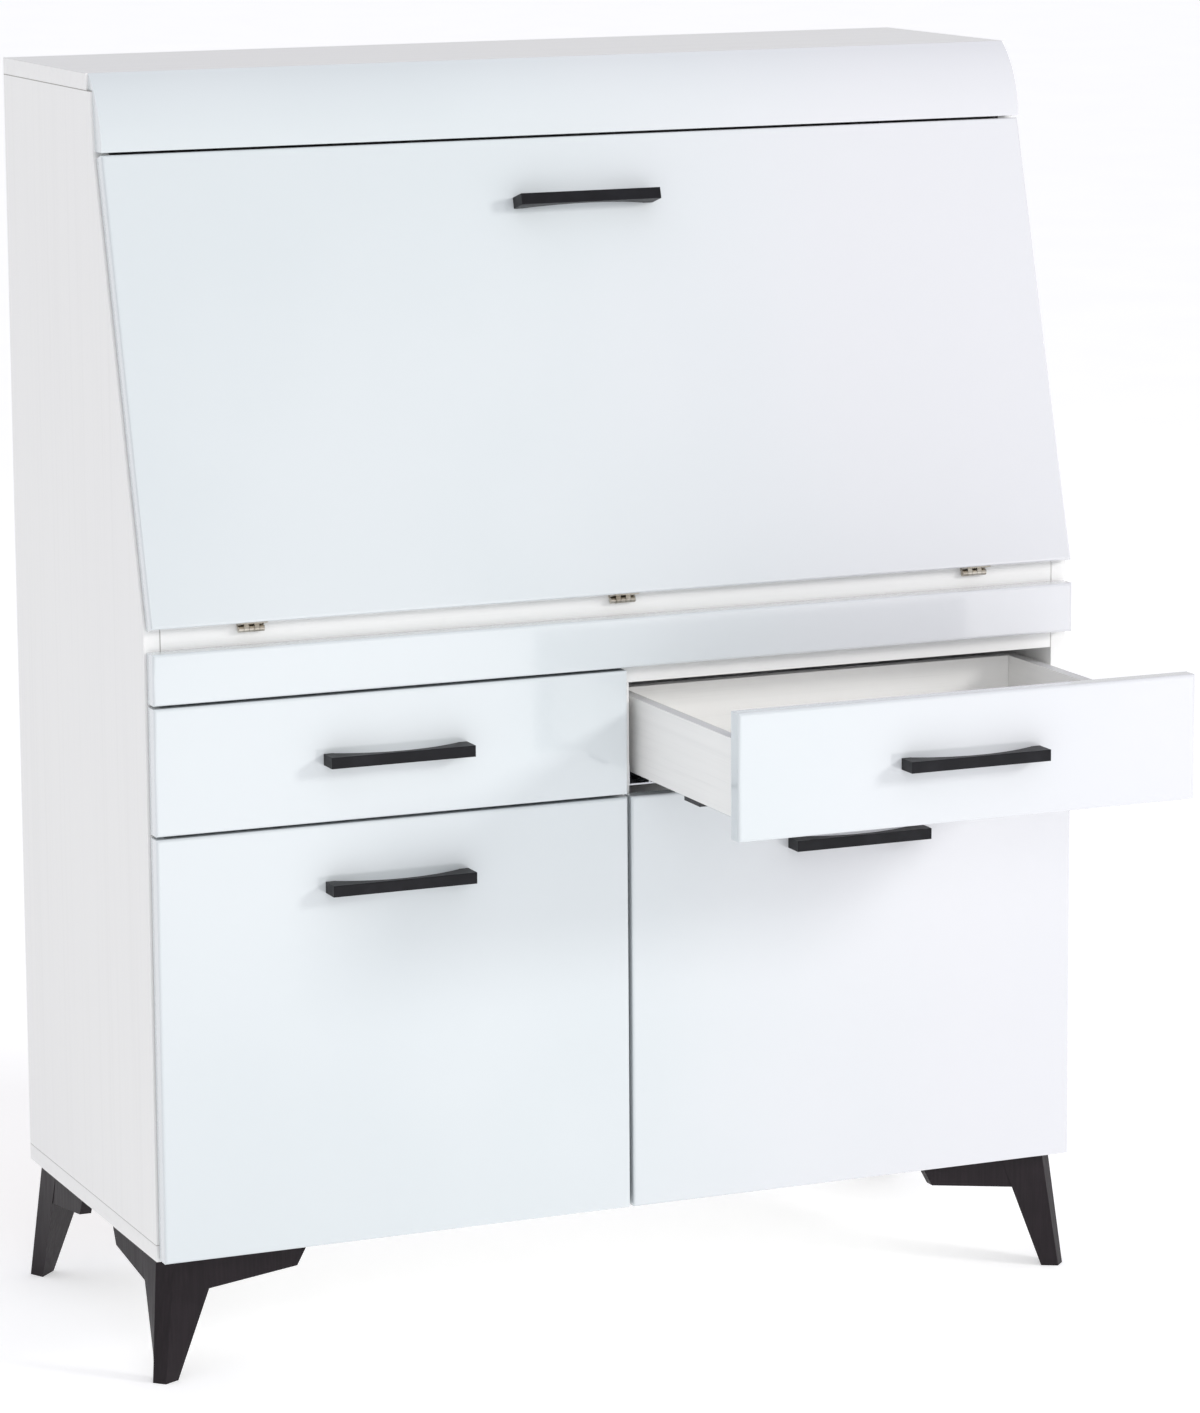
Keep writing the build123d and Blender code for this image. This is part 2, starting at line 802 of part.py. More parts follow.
def make_drawer(label, wall_low, wall_high, front_low, front_high, pull):
    """A drawer between two walls, drawn out by pull."""
    face = fronts_face - pull
    rear = fronts_back - pull
    end = rear + box_depth
    low = wall_low + box_gap
    high = wall_high - box_gap
    inner_low = low + box_side
    inner_high = high - box_side
    panel_top = panel_z + box_bottom_thick
    middle = (front_low + front_high) / 2
    place = handle_plane(middle, face, (drawer_front_under + drawer_front_top) / 2)
    groove = (inner_low - box_groove, inner_high + box_groove)

    with BuildPart() as drawer_front:
        front_panel(front_low, front_high, drawer_front_under, drawer_front_top, face, place)
        slab(*groove, rear - box_groove, rear, panel_z, panel_top, Mode.SUBTRACT)
        round_front(drawer_front)
    finish(drawer_front, f"{label}_front")
    make_handle(label, place)
    make_handle_screws(label, place, front_thick)

    for side, x0, groove_x in (
        ("side_left", low, groove[0]),
        ("side_right", inner_high, inner_high),
    ):
        with BuildPart() as box_board:
            slab(x0, x0 + box_side, rear, end, box_under, box_top)
            slab(groove_x, groove_x + box_groove, rear, end, panel_z, panel_top, Mode.SUBTRACT)
        finish(box_board, f"{label}_{side}")

    with BuildPart() as box_back:
        slab(inner_low, inner_high, end - box_side, end, panel_top, box_top)
    finish(box_back, f"{label}_back")

    with BuildPart() as box_bottom:
        slab(*groove, rear - box_groove, end, panel_z, panel_top)
    finish(box_bottom, f"{label}_bottom")

    with BuildPart() as moving_rails:
        rail_moving(wall_low, 1, rear)
        rail_moving(wall_high, -1, rear)
    finish(moving_rails, f"{label}_rails_moving")

    with BuildPart() as clips:
        for x0 in (low, high - clip_width):
            slab(
                x0,
                x0 + clip_width,
                rear + clip_setback,
                rear + clip_setback + clip_length,
                box_under - clip_height,
                box_under,
            )
    finish(clips, f"{label}_clips")

    with BuildPart() as fixed_rails:
        rail_fixed(wall_low, 1)
        rail_fixed(wall_high, -1)
    finish(fixed_rails, f"{label}_rails_fixed")


outer = half - front_inset
gap_half = middle_reveal / 2
make_drawer("drawer_left", -inner_half, -board / 2, -outer, -gap_half, 0)
make_drawer("drawer_right", board / 2, inner_half, gap_half, outer, drawer_pull)


# Doors ------------------------------------------------------------------------------------------
hinge_heights = [door_under + hinge_inset, door_top - hinge_inset]


def make_door(label, x0, x1, outer_x, inward):
    """A door with its handle and the cups of its two concealed hinges."""
    middle = (x0 + x1) / 2
    place = handle_plane(middle, fronts_face, door_top - door_handle_drop)
    cup_x = outer_x + inward * cup_edge
    cup_end = fronts_back - cup_depth
    with BuildPart() as door:
        front_panel(x0, x1, door_under, door_top, fronts_face, place)
        for z in hinge_heights:
            bored(cup_x, z, cup_end, fronts_back, cup_radius + cup_clearance)
        round_front(door)
    finish(door, f"{label}_panel")
    make_handle(label, place)
    make_handle_screws(label, place, front_thick)

    with BuildPart() as cups:
        for z in hinge_heights:
            bored(cup_x, z, cup_end, fronts_back, cup_radius, Mode.ADD)
            bored(cup_x, z, cup_end + cup_wall, fronts_back, cup_radius - cup_wall)
            with BuildSketch(Plane.XZ.offset(-fronts_back - cup_flange)) as flange:
                with Locations((cup_x, z)):
                    RectangleRounded(cup_flange_width, cup_flange_length, cup_flange_corner)
                    Circle(cup_radius)
                    Circle(cup_radius - cup_wall, mode=Mode.SUBTRACT)
            extrude(flange.sketch, amount=cup_flange)
    finish(cups, f"{label}_hinge_cups")


make_door("door_left", -outer, -gap_half, -outer, 1)
make_door("door_right", gap_half, outer, outer, -1)

with BuildPart() as hinge_plates:
    for wall, inward in ((-inner_half, 1), (inner_half, -1)):
        plate_front = front_y + plate_setback
        arm_front = front_y + arm_setback
        arm_back = plate_front + plate_length - arm_tail
        for z in hinge_heights:
            plate_edges = sorted((wall, wall + inward * plate_thick))
            arm_edges = sorted((wall + inward * plate_thick, wall + inward * (plate_thick + arm_height)))
            plate_low = z - plate_width / 2
            slab(*plate_edges, plate_front, plate_front + plate_length, plate_low, plate_low + plate_width)
            slab(*arm_edges, arm_front, arm_back, z - arm_width / 2, z + arm_width / 2)
finish(hinge_plates, "hinge_plates")
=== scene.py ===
"""Looks of the secretary desk: lacquered fronts, melamine boards, black handles, nickel hinges.

Everything is in metres in the desk's own frame: X across, +Y towards the wall, Z up from the floor.
"""

import json
import math

import bmesh
import bpy
import numpy as np
from mathutils import Matrix, Vector


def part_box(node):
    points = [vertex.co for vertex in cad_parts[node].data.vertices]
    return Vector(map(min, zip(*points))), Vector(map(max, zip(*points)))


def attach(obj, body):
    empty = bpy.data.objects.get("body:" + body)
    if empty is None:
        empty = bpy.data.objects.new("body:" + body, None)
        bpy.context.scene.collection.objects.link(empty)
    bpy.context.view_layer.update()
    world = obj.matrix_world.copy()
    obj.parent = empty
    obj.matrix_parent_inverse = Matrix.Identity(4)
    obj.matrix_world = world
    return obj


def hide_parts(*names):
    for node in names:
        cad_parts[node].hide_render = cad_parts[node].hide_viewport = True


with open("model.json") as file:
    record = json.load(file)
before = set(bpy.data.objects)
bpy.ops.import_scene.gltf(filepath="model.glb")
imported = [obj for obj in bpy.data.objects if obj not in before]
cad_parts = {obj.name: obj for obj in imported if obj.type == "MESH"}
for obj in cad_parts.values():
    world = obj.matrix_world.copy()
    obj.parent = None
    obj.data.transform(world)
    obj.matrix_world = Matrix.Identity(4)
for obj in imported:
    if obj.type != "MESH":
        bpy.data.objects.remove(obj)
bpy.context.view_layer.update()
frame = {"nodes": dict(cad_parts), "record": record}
scene = bpy.context.scene
bodies = frame["record"]["behaviour"]["bodies"]
body_of_node = {node: body for body, nodes in bodies.items() for node in nodes}
slot_of_node = {entry["node"]: entry["material_slot"] for entry in frame["record"]["subparts"]}
mm = 0.001


# Node maths --------------------------------------------------------------------------------------
class Signal:
    """A value flowing between nodes; arithmetic on it adds Math nodes."""

    def __init__(self, nodes, socket):
        self.nodes = nodes
        self.socket = socket

    def _math(self, operation, *values):
        made = self.nodes.node("ShaderNodeMath", {"operation": operation}, dict(enumerate(values)))
        return made["Value"]

    def __add__(self, other):
        return self._math("ADD", self, other)

    def __sub__(self, other):
        return self._math("SUBTRACT", self, other)

    def __rsub__(self, other):
        return self._math("SUBTRACT", other, self)

    def __mul__(self, other):
        return self._math("MULTIPLY", self, other)

    def __gt__(self, other):
        return self._math("GREATER_THAN", self, other)

    def __lt__(self, other):
        return self._math("LESS_THAN", self, other)

    def __abs__(self):
        return self._math("ABSOLUTE", self)

    def clamped(self):
        """The value held between 0 and 1."""
        return self.nodes.node("ShaderNodeClamp", {}, {"Value": self})["Result"]

    __radd__ = __add__
    __rmul__ = __mul__


class Outputs:
    """The outputs of one node, by name."""

    def __init__(self, nodes, made):
        self.nodes = nodes
        self.made = made

    def __getitem__(self, name):
        return Signal(self.nodes, self.made.outputs[name])

    def in_use(self):
        """The output in use, of a node that has one for each type of data."""
        return Signal(self.nodes, next(socket for socket in self.made.outputs if socket.enabled))


class Nodes:
    """A node tree; every node in it is added through node()."""

    def __init__(self, tree):
        self.tree = tree
        tree.nodes.clear()

    def node(self, kind, settings=None, inputs=None):
        """Adds a node: its settings first, then a value or links for each named socket."""
        made = self.tree.nodes.new(kind)
        for name, value in (settings or {}).items():
            if name == "stops":
                self.set_stops(made.color_ramp, value)
            else:
                setattr(made, name, value)
        for name, value in (inputs or {}).items():
            socket = self.socket_named(made, name)
            links = value if isinstance(value, list) else [value]
            if isinstance(links[0], Signal):
                for signal in links:
                    self.tree.links.new(signal.socket, socket)
            elif isinstance(value, tuple) and socket.type == "RGBA":
                socket.default_value = (*value, 1.0)
            else:
                socket.default_value = value
        return Outputs(self, made)

    @staticmethod
    def set_stops(ramp, stops):
        """Gives a colour ramp its stops."""
        while len(ramp.elements) < len(stops):
            ramp.elements.new(0.5)
        for element, (position, colour) in zip(ramp.elements, stops):
            element.position = position
            element.color = (*colour, 1.0)

    @staticmethod
    def socket_named(made, name):
        """A node's input by name or number; of several with one name, the one in use."""
        if isinstance(name, int):
            return made.inputs[name]
        found = [socket for socket in made.inputs if socket.name == name]
        return next((socket for socket in found if socket.enabled), found[0])

    def axis_of(self, vector, axis):
        """One component of a vector."""
        return self.node("ShaderNodeSeparateXYZ", {}, {"Vector": vector})[axis]


class Finish(Nodes):
    """One material: its surface is made through surface()."""

    def __init__(self, name, shown_colour):
        self.material = bpy.data.materials.new(name)
        self.material.use_nodes = True
        self.material.diffuse_color = (*shown_colour, 1.0)
        super().__init__(self.material.node_tree)
        self.place = self.node("ShaderNodeTexCoord")["Object"]
        self.facing = self.node("ShaderNodeNewGeometry")["Normal"]

    def stretched(self, along, lengthways, crossways):
        """Object coordinates scaled so that a pattern is drawn out along one axis."""
        scales = tuple(lengthways if axis == along else crossways for axis in "XYZ")
        mapping = {"Vector": self.place, "Scale": scales}
        return self.node("ShaderNodeMapping", {}, mapping)["Vector"]

    def noise(self, vector, scale=1.0, detail=3.0, roughness=0.5):
        """Fractal noise from 0 to 1 on the given coordinates."""
        inputs = {"Vector": vector, "Scale": scale, "Detail": detail, "Roughness": roughness}
        return self.node("ShaderNodeTexNoise", {}, inputs)["Fac"]

    def ramp(self, factor, low, high, top=1.0):
        """A smooth step that rises from 0 to top as the factor goes from low to high."""
        smooth = {"interpolation_type": "SMOOTHSTEP"}
        inputs = {"Value": factor, "From Min": low, "From Max": high, "To Max": top}
        return self.node("ShaderNodeMapRange", smooth, inputs)["Result"]

    def blend(self, factor, first, second):
        """A colour between two others."""
        inputs = {"Factor": factor, "A": first, "B": second}
        return self.node("ShaderNodeMix", {"data_type": "RGBA"}, inputs).in_use()

    def bumps(self, height, distance, strength):
        """A bumped normal."""
        inputs = {"Height": height, "Distance": distance, "Strength": strength}
        return self.node("ShaderNodeBump", {}, inputs)["Normal"]

    def joints(self, axis, places, reach):
        """1 within reach of any of the places along an axis, 0 elsewhere."""
        along = self.axis_of(self.place, axis)
        near = [abs(along - place) < reach for place in places]
        return sum(near[1:], near[0])

    def surface(self, **inputs):
        """Ends the material in a Principled surface; underscores in names stand for spaces."""
        named = {name.replace("_", " "): value for name, value in inputs.items()}
        shader = self.node("ShaderNodeBsdfPrincipled", {}, named)
        self.node("ShaderNodeOutputMaterial", {}, {"Surface": shader["BSDF"]})
        return self.material


# Finishes ----------------------------------------------------------------------------------------
def gloss_lacquer():
    """White high-gloss lacquer: cool white, a painted violet reflection towards +X, faint orange
    peel, a hair of handling haze.
    """
    blue_white, pale_white = (0.64, 0.685, 0.705), (0.67, 0.71, 0.73)
    painted_reflection_violet, dust = (0.69, 0.685, 0.72), (0.55, 0.56, 0.57)
    wander = 0.5
    f = Finish("gloss_lacquer", shown_colour=(0.82, 0.86, 0.88))
    clouds = f.noise(f.place, scale=2.4, detail=2.0)
    # Painted reflection: towards +X the lacquer turns violet, standing in for a lilac-tinted room
    # mirrored in the gloss.
    painted_reflection = f.ramp(f.axis_of(f.place, "X") + clouds * wander, low=0.1, high=0.7, top=0.75)
    haze = f.noise(f.place, scale=14.0, detail=5.0, roughness=0.6)
    peel = f.noise(f.place, scale=420.0, detail=2.0)
    specks = f.ramp(f.noise(f.place, scale=900.0, detail=1.0), low=0.74, high=0.8, top=0.05)
    cool = f.blend(f.ramp(clouds, low=0.35, high=0.65), blue_white, pale_white)
    colour = f.blend(painted_reflection, cool, painted_reflection_violet)
    colour = f.blend(specks, colour, dust)
    return f.surface(
        Base_Color=colour,
        Roughness=0.1 + f.ramp(haze, low=0.42, high=0.75, top=0.06),
        Normal=f.bumps(peel, distance=0.03 * mm, strength=0.5),
        Coat_Weight=1.0,
        Coat_Roughness=0.06,
        IOR=1.5,
    )


def white_board(name, along, light=(0.85, 0.85, 0.84), joints=(), shaded_top=False):
    """White embossed melamine on chipboard, its grain along one axis, dull along its joints; on
    drawer boards, upward faces get a painted grey shade.
    """
    pore_grey, stain_tint = (0.74, 0.74, 0.73), (0.8, 0.79, 0.82)
    painted_shade_grey, joint_brown = (0.55, 0.55, 0.56), (0.3, 0.29, 0.27)
    top_shade_strength, joint_strength = 0.75, 0.8
    f = Finish(name, shown_colour=light)
    pores = f.noise(f.stretched(along, 7.0, 900.0), detail=3.0, roughness=0.6)
    stripes = f.noise(f.stretched(along, 1.2, 120.0), detail=4.0, roughness=0.55)
    stain = f.noise(f.place, scale=1.6, detail=3.0)
    mark = f.ramp(pores, low=0.56, high=0.8, top=0.34)
    mark = mark + f.ramp(stripes, low=0.45, high=0.8, top=0.22)
    colour = f.blend(mark.clamped(), light, pore_grey)
    colour = f.blend(f.ramp(stain, low=0.35, high=0.7, top=0.12), colour, stain_tint)
    # Painted shade: faces that point up turn grey, as if under a dim sky overhead.
    if shaded_top:
        on_top = f.axis_of(f.facing, "Z") > 0.9
        colour = f.blend(on_top * top_shade_strength, colour, painted_shade_grey)
    for axis, places in joints:
        near = f.joints(axis, places, joint_width)
        colour = f.blend(near * joint_strength, colour, joint_brown)
    return f.surface(
        Base_Color=colour,
        Roughness=0.42 + mark * 0.16,
        Normal=f.bumps(pores, distance=0.06 * mm, strength=0.35),
        IOR=1.48,
    )


def raw_hardboard():
    """The back panel: white film inside, raw brown fibreboard towards the wall."""
    dark_fibre, light_fibre = (0.3, 0.2, 0.12), (0.42, 0.3, 0.19)
    damp_brown, bark = (0.36, 0.25, 0.16), (0.18, 0.11, 0.06)
    film_white, film_grey = (0.82, 0.82, 0.82), (0.74, 0.74, 0.75)
    f = Finish("back_hardboard", shown_colour=(0.5, 0.4, 0.3))
    rear = f.axis_of(f.facing, "Y") > 0.5
    fibres = f.noise(f.stretched("Z", 90.0, 140.0), detail=6.0, roughness=0.7)
    mottle = f.noise(f.place, scale=9.0, detail=3.0)
    flecks = f.ramp(f.noise(f.place, scale=380.0, detail=2.0), low=0.62, high=0.72, top=0.4)
    raw = f.blend(f.ramp(fibres, low=0.3, high=0.7), dark_fibre, light_fibre)
    raw = f.blend(f.ramp(mottle, low=0.3, high=0.8, top=0.3), raw, damp_brown)
    raw = f.blend(flecks, raw, bark)
    film = f.blend(f.ramp(fibres, low=0.4, high=0.8, top=0.15), film_white, film_grey)
    return f.surface(
        Base_Color=f.blend(rear, film, raw),
        Roughness=0.5 + rear * 0.3,
        Normal=f.bumps(fibres, distance=0.12 * mm, strength=0.5),
    )


def black_metal():
    """Matt black powder coat: fine pebbled skin, slightly rubbed where fingers go."""
    jet, rubbed, glint = (0.006, 0.006, 0.008), (0.01, 0.01, 0.013), (0.02, 0.02, 0.024)
    f = Finish("black_metal", shown_colour=(0.02, 0.02, 0.022))
    pebble = f.noise(f.place, scale=1400.0, detail=3.0, roughness=0.6)
    rub = f.noise(f.place, scale=45.0, detail=4.0, roughness=0.6)
    colour = f.blend(f.ramp(rub, low=0.4, high=0.75), jet, rubbed)
    colour = f.blend(f.ramp(pebble, low=0.6, high=0.8, top=0.3), colour, glint)
    return f.surface(
        Base_Color=colour,
        Roughness=0.46 - f.ramp(rub, low=0.45, high=0.8, top=0.1),
        Normal=f.bumps(pebble, distance=0.04 * mm, strength=0.35),
        Specular_IOR_Level=0.24,
    )


def foot_stain():
    """Black-brown stain on solid wood: the grain runs down the leg and shows as faint ridges."""
    deep, worn, patch = (0.011, 0.008, 0.01), (0.019, 0.014, 0.017), (0.024, 0.018, 0.022)
    f = Finish("foot_stain", shown_colour=(0.035, 0.028, 0.03))
    grain = f.noise(f.stretched("Z", 12.0, 420.0), detail=4.0, roughness=0.65)
    patches = f.noise(f.place, scale=18.0, detail=3.0)
    colour = f.blend(f.ramp(grain, low=0.35, high=0.75), deep, worn)
    colour = f.blend(f.ramp(patches, low=0.4, high=0.8, top=0.4), colour, patch)
    return f.surface(
        Base_Color=colour,
        Roughness=0.46 + f.ramp(grain, low=0.3, high=0.8, top=0.16),
        Normal=f.bumps(grain, distance=0.06 * mm, strength=0.35),
        Specular_IOR_Level=0.2,
    )


def plated_steel(name, bright, dull, roughness, along):
    """Plated steel with rolling lines along one axis and a light, patchy tarnish."""
    f = Finish(name, shown_colour=bright)
    lines = f.noise(f.stretched(along, 20.0, 1500.0), detail=3.0, roughness=0.6)
    tarnish = f.noise(f.place, scale=60.0, detail=4.0, roughness=0.6)
    lined = f.ramp(lines, low=0.3, high=0.7, top=0.12)
    spotted = f.ramp(tarnish, low=0.5, high=0.8, top=0.1)
    return f.surface(
        Base_Color=f.blend(f.ramp(tarnish, low=0.35, high=0.75), bright, dull),
        Metallic=1.0,
        Roughness=roughness + lined + spotted,
        Normal=f.bumps(lines, distance=0.02 * mm, strength=0.4),
    )


def clip_plastic():
    """Black moulded plastic with a fine spark-eroded texture."""
    black, worn_black = (0.03, 0.03, 0.033), (0.055, 0.055, 0.06)
    f = Finish("clip_plastic", shown_colour=(0.05, 0.05, 0.055))
    texture = f.noise(f.place, scale=1100.0, detail=2.0)
    return f.surface(
        Base_Color=f.blend(f.ramp(texture, low=0.4, high=0.7), black, worn_black),
        Roughness=0.5 + texture * 0.15,
        Normal=f.bumps(texture, distance=0.04 * mm, strength=0.5),
    )


joint_width = 0.8 * mm
drawer_white = (0.93, 0.925, 0.905)
zinc, zinc_dull = (0.62, 0.64, 0.67), (0.45, 0.46, 0.48)
nickel, nickel_dull = (0.66, 0.62, 0.55), (0.42, 0.37, 0.3)
board_low, board_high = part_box("bottom_board")[1][2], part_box("top_board")[0][2]
wall_left, wall_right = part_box("side_panel_left")[1][0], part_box("side_panel_right")[0][0]
finishes = {
    "gloss_lacquer": gloss_lacquer(),
    "upright_board": white_board("upright_board", "Z", joints=[("Z", (board_low, board_high))]),
    "cross_board": white_board("cross_board", "X"),
    "shelf_board": white_board("shelf_board", "X", joints=[("X", (wall_left, wall_right))]),
    # The drawer boards carry painted grey shade on their upward faces.
    "drawer_side_board": white_board("drawer_side_board", "Y", drawer_white, shaded_top=True),
    "drawer_back_board": white_board("drawer_back_board", "X", drawer_white, shaded_top=True),
    "drawer_bottom_board": white_board("drawer_bottom_board", "X", drawer_white),
    "back_hardboard": raw_hardboard(),
    "foot_stain": foot_stain(),
    "black_metal": black_metal(),
    "zinc_steel": plated_steel("zinc_steel", zinc, zinc_dull, roughness=0.22, along="Y"),
    "nickel": plated_steel("nickel", nickel, nickel_dull, roughness=0.2, along="X"),
    "clip_plastic": clip_plastic(),
}


# Pieces ------------------------------------------------------------------------------------------
def finish_for(node):
    """The finish of a node: its slot's, and for a board the way its grain runs."""
    slot = slot_of_node[node]
    if slot != "white_board":
        return finishes[slot]
    if node == "back_panel":
        return finishes["back_hardboard"]
    if node in ("side_panel_left", "side_panel_right", "partition"):
        return finishes["upright_board"]
    for place in ("side", "back", "bottom"):
        if node.startswith(("drawer_", "tray_")) and place in node:
            return finishes[f"drawer_{place}_board"]
    if node in ("desk_floor", "dust_board", "shelf_left", "shelf_right", "inner_shelf"):
        return finishes["shelf_board"]
    return finishes["cross_board"]


def merged_copy(node):
    """A node's own shape as one joined mesh of flat faces, ready for its edges to be eased."""
    shape = bmesh.new()
    shape.from_mesh(frame["nodes"][node].data)
    bmesh.ops.remove_doubles(shape, verts=shape.verts, dist=merging_distance)
    bmesh.ops.dissolve_degenerate(shape, edges=shape.edges, dist=merging_distance)
    bmesh.ops.dissolve_limit(
        shape,
        angle_limit=math.radians(flat_within),
        verts=shape.verts,
        edges=shape.edges,
        use_dissolve_boundaries=False,
    )
    return shape


def eased_piece(node, ease, shortest):
    """A node rebuilt with its long sharp edges eased, so that they catch the light."""
    shape = merged_copy(node)
    sharp = [
        edge
        for edge in shape.edges
        if len(edge.link_faces) == 2
        and edge.calc_face_angle(0.0) > math.radians(sharp_beyond)
        and edge.calc_length() > shortest
    ]
    bmesh.ops.bevel(
        shape,
        geom=sharp,
        offset=ease,
        offset_type="OFFSET",
        segments=2,
        profile=0.5,
        affect="EDGES",
        clamp_overlap=True,
        harden_normals=False,
    )
    mesh = bpy.data.meshes.new(f"{node}_shape")
    shape.to_mesh(mesh)
    shape.free()
    piece = placed_piece(mesh, f"{node}_finished", node)
    # Broad faces stay flat under smooth shading, so only the eased edges turn the light.
    weigh = piece.modifiers.new("weigh", "WEIGHTED_NORMAL")
    weigh.keep_sharp = True
    weigh.weight = 100


def placed_piece(mesh, name, node, in_its_place=True):
    """Puts a finished mesh on a node's body and in its material slot, usually instead of it."""
    mesh.materials.clear()
    mesh.materials.append(finish_for(node))
    mesh.shade_smooth()
    mesh.set_sharp_from_angle(angle=math.radians(crease_beyond))
    piece = bpy.data.objects.new(name, mesh)
    scene.collection.objects.link(piece)
    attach(piece, body_of_node[node])
    if in_its_place:
        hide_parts(node)
    return piece


def solids_of(node):
    """The corners of each separate solid in a node, one array of points each."""
    shape = merged_copy(node)
    left = set(shape.verts)
    found = []
    for start in shape.verts:
        if start not in left:
            continue
        left.remove(start)
        reached = [start]
        corners = []
        while reached:
            corner = reached.pop()
            corners.append(tuple(corner.co))
            for edge in corner.link_edges:
                other = edge.other_vert(corner)
                if other in left:
                    left.remove(other)
                    reached.append(other)
        found.append(np.array(corners))
    shape.free()
    return found


def box_of(corners):
    """The low corner, the high corner and the middle of the box around some points."""
    low, high = corners.min(axis=0), corners.max(axis=0)
    return low, high, (low + high) / 2


def screw_seat(corners):
    """Where a screw's head sits, which way the head points, and the length of its shank."""
    middle = box_of(corners)[2]
    axis = np.linalg.eigh(np.cov((corners - corners.mean(axis=0)).T))[1][:, 2]
    along = (corners - middle) @ axis
    reach = np.linalg.norm((corners - middle) - np.outer(along, axis), axis=1)
    if reach[along > 0].max() < reach[along < 0].max():
        axis, along = -axis, -along
    head = along[reach > reach.max() - head_rim]
    return middle + axis * head.min(), axis, head.min() - along.min()


def screw_tree():
    """A tree that sets one cross-head screw on every point, its head along the point's axis."""
    tree = bpy.data.node_groups.new("cross_head_screws", "GeometryNodeTree")
    tree.interface.new_socket("Places", in_out="INPUT", socket_type="NodeSocketGeometry")
    sizes = ("Head Radius", "Head Height", "Shank Radius", "Shank Length")
    for size in sizes:
        tree.interface.new_socket(size, in_out="INPUT", socket_type="NodeSocketFloat")
    tree.interface.new_socket("Finish", in_out="INPUT", socket_type="NodeSocketMaterial")
    tree.interface.new_socket("Screws", in_out="OUTPUT", socket_type="NodeSocketGeometry")
    g = Nodes(tree)
    given = g.node("NodeGroupInput")
    radius, height, shank_radius, shank_length = (given[size] for size in sizes)

    def vector(x, y, z):
        return g.node("ShaderNodeCombineXYZ", {}, {"X": x, "Y": y, "Z": z})["Vector"]

    def moved(shape, **how):
        named = {name.capitalize(): value for name, value in how.items()}
        return g.node("GeometryNodeTransform", {}, {"Geometry": shape, **named})["Geometry"]

    def block(*sides):
        return g.node("GeometryNodeMeshCube", {}, {"Size": vector(*sides)})["Mesh"]

    round_ball = {"Segments": 24, "Rings": 12, "Radius": 1.0}
    ball = g.node("GeometryNodeMeshUVSphere", {}, round_ball)["Mesh"]
    dome = moved(ball, scale=vector(radius, radius, height))
    below = block(radius * 3, radius * 3, height * 2)
    below = moved(below, translation=vector(0.0, 0.0, height * -1))
    blade = block(radius * blade_length, radius * blade_width, height)
    blade = moved(blade, translation=vector(0.0, 0.0, height * blade_lift))
    crossing = moved(blade, rotation=(0.0, 0.0, math.pi / 2))
    cuts = {"Mesh 1": dome, "Mesh 2": [below, blade, crossing]}
    head = g.node("GeometryNodeMeshBoolean", {"operation": "DIFFERENCE"}, cuts)["Mesh"]
    rod = {"Vertices": 16, "Radius": shank_radius, "Depth": shank_length}
    shank = g.node("GeometryNodeMeshCylinder", {"fill_type": "NGON"}, rod)["Mesh"]
    shank = moved(shank, translation=vector(0.0, 0.0, shank_length * -0.5))
    screw = g.node("GeometryNodeJoinGeometry", {}, {"Geometry": [head, shank]})["Geometry"]

    points = g.node("GeometryNodeMeshToPoints", {}, {"Mesh": given["Places"]})["Points"]
    stored = {"data_type": "FLOAT_VECTOR"}
    axis = g.node("GeometryNodeInputNamedAttribute", stored, {"Name": "axis"})["Attribute"]
    upright = g.node("FunctionNodeAlignRotationToVector", {"axis": "Z"}, {"Vector": axis})
    any_turn = {"Max": math.pi, "Seed": screw_seed}
    spin = g.node("FunctionNodeRandomValue", {"data_type": "FLOAT"}, any_turn).in_use()
    euler = {"Euler": vector(0.0, 0.0, spin)}
    tightened = g.node("FunctionNodeEulerToRotation", {}, euler)["Rotation"]
    turns = {"Rotation": upright["Rotation"], "Rotate By": tightened}
    turned = g.node("FunctionNodeRotateRotation", {"rotation_space": "LOCAL"}, turns)["Rotation"]
    seats = {"Points": points, "Instance": screw, "Rotation": turned}
    placed = g.node("GeometryNodeInstanceOnPoints", {}, seats)["Instances"]
    real = g.node("GeometryNodeRealizeInstances", {}, {"Geometry": placed})["Geometry"]
    coated = {"Geometry": real, "Material": given["Finish"]}
    done = g.node("GeometryNodeSetMaterial", {}, coated)["Geometry"]
    g.node("NodeGroupOutput", {}, {"Screws": done})
    return tree


def screws(name, node, seats, head, shank, in_its_place=True):
    """One mesh of screws, each at a seat: a point and the way its head faces.

    The head is a radius and a height, the shank a radius and a length.
    """
    points = bpy.data.meshes.new(f"{name}_seats")
    points.from_pydata([tuple(place) for place, axis in seats], [], [])
    ways = points.attributes.new("axis", "FLOAT_VECTOR", "POINT")
    for way, (place, axis) in zip(ways.data, seats):
        way.vector = tuple(axis)
    maker = bpy.data.objects.new(f"{name}_maker", points)
    scene.collection.objects.link(maker)
    modifier = maker.modifiers.new("screws", "NODES")
    modifier.node_group = screw_maker
    sizes = {
        "Head Radius": head[0],
        "Head Height": head[1],
        "Shank Radius": shank[0],
        "Shank Length": shank[1],
        "Finish": finish_for(node),
    }
    for socket in screw_maker.interface.items_tree:
        if socket.in_out == "INPUT" and socket.name in sizes:
            modifier[socket.identifier] = sizes[socket.name]
    evaluated = maker.evaluated_get(bpy.context.evaluated_depsgraph_get())
    mesh = bpy.data.meshes.new_from_object(evaluated)
    maker.modifiers.clear()
    bpy.data.objects.remove(maker)
    placed_piece(mesh, name, node, in_its_place)


